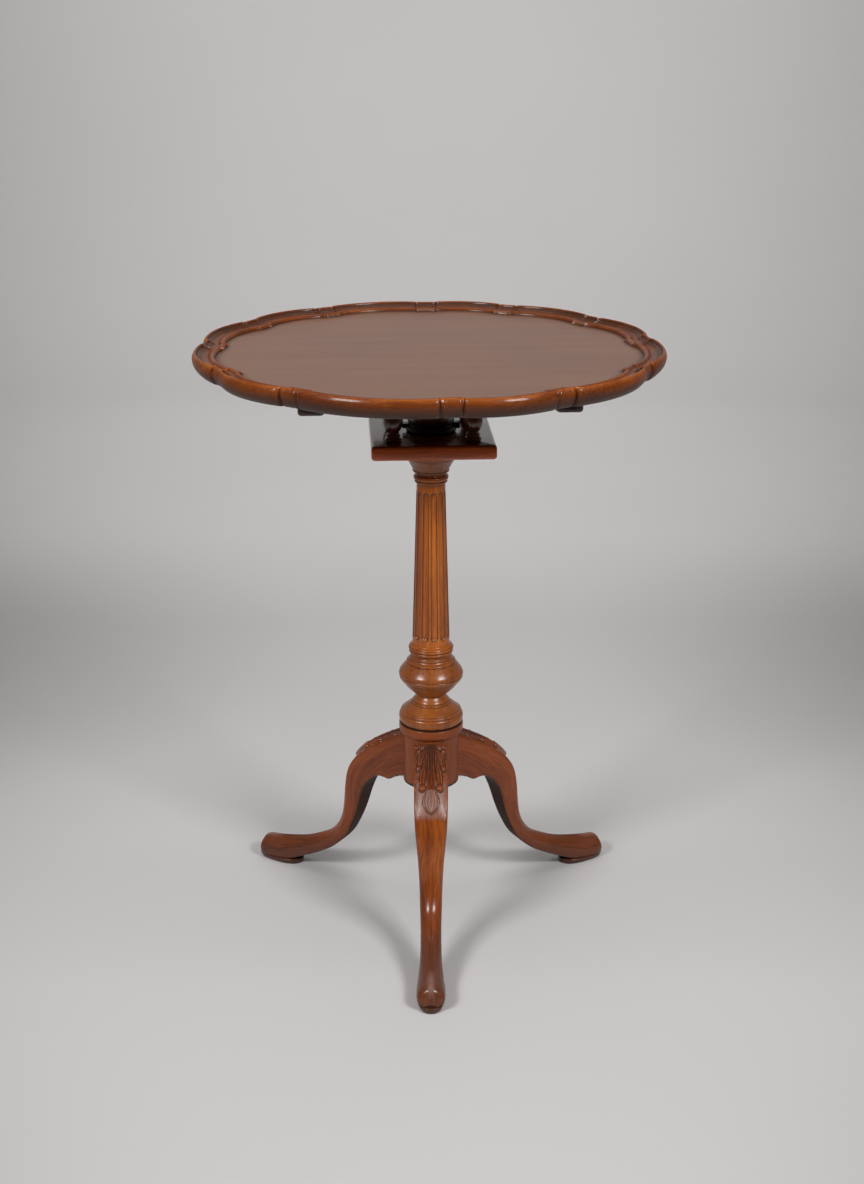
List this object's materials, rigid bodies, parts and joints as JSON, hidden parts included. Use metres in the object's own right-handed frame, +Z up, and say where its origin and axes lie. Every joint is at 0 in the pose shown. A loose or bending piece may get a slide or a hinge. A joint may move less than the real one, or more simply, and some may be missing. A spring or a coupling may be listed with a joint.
{
  "type": "tilt-top tripod table",
  "caption": "Small pedestal table: a round tray top with a scalloped raised edge that tilts and turns on a birdcage, over a fluted column and cabriole legs with pad feet.",
  "frame": {"origin": "on the floor, on the column's axis, which is the middle of the base and of the top", "axes": "+Z up along the column; the front leg points along -Y; +X is to the right seen from the front"},
  "size_m": [0.5369, 0.5348, 0.72],
  "materials": {
    "top_wood": "polished mahogany, reddish brown, grain running from side to side",
    "column_wood": "polished mahogany, orange brown",
    "base_wood": "satin mahogany, reddish brown, darker in the carving",
    "cage_wood": "polished mahogany",
    "dark_wood": "dark stained mahogany",
    "brass": "aged brass",
    "iron": "dark wrought iron",
    "steel": "dull steel"
  },
  "bodies": {
    "pedestal": {"hub": "base_wood", "leg_front": "base_wood", "leg_right": "base_wood", "leg_left": "base_wood", "brace_plate": "iron", "brace_screws": "steel", "column": "column_wood", "cage_collar": "dark_wood", "cage_wedge": "dark_wood"},
    "cage": {"lower_block": "cage_wood", "post_front_left": "cage_wood", "post_front_right": "cage_wood", "post_rear_left": "cage_wood", "post_rear_right": "cage_wood", "upper_block": "cage_wood", "keeper_plate": "brass", "keeper_screws": "brass"},
    "top": {"tray_top": "top_wood", "batten_left": "top_wood", "batten_right": "top_wood", "batten_screws": "steel", "catch_case": "brass", "catch_leaf": "steel", "catch_screws": "brass"},
    "catch_bolt": {"catch_bolt": "brass", "catch_knob": "brass"}
  },
  "joints": [
    {"name": "cage_swivel", "type": "hinge", "parent": "pedestal", "child": "cage", "pos_m": [0, 0, 0.6185], "axis": [0, 0, 1], "continuous": true},
    {"name": "top_tilt", "type": "hinge", "parent": "cage", "child": "top", "pos_m": [0.00346, -0.0619, 0.6887], "axis": [0.9984, 0.0558, 0], "range_deg": [0, 90]},
    {"name": "catch_slide", "type": "slide", "parent": "top", "child": "catch_bolt", "axis": [0.0558, -0.9984, 0], "range_m": [0, 0.008]}
  ]
}
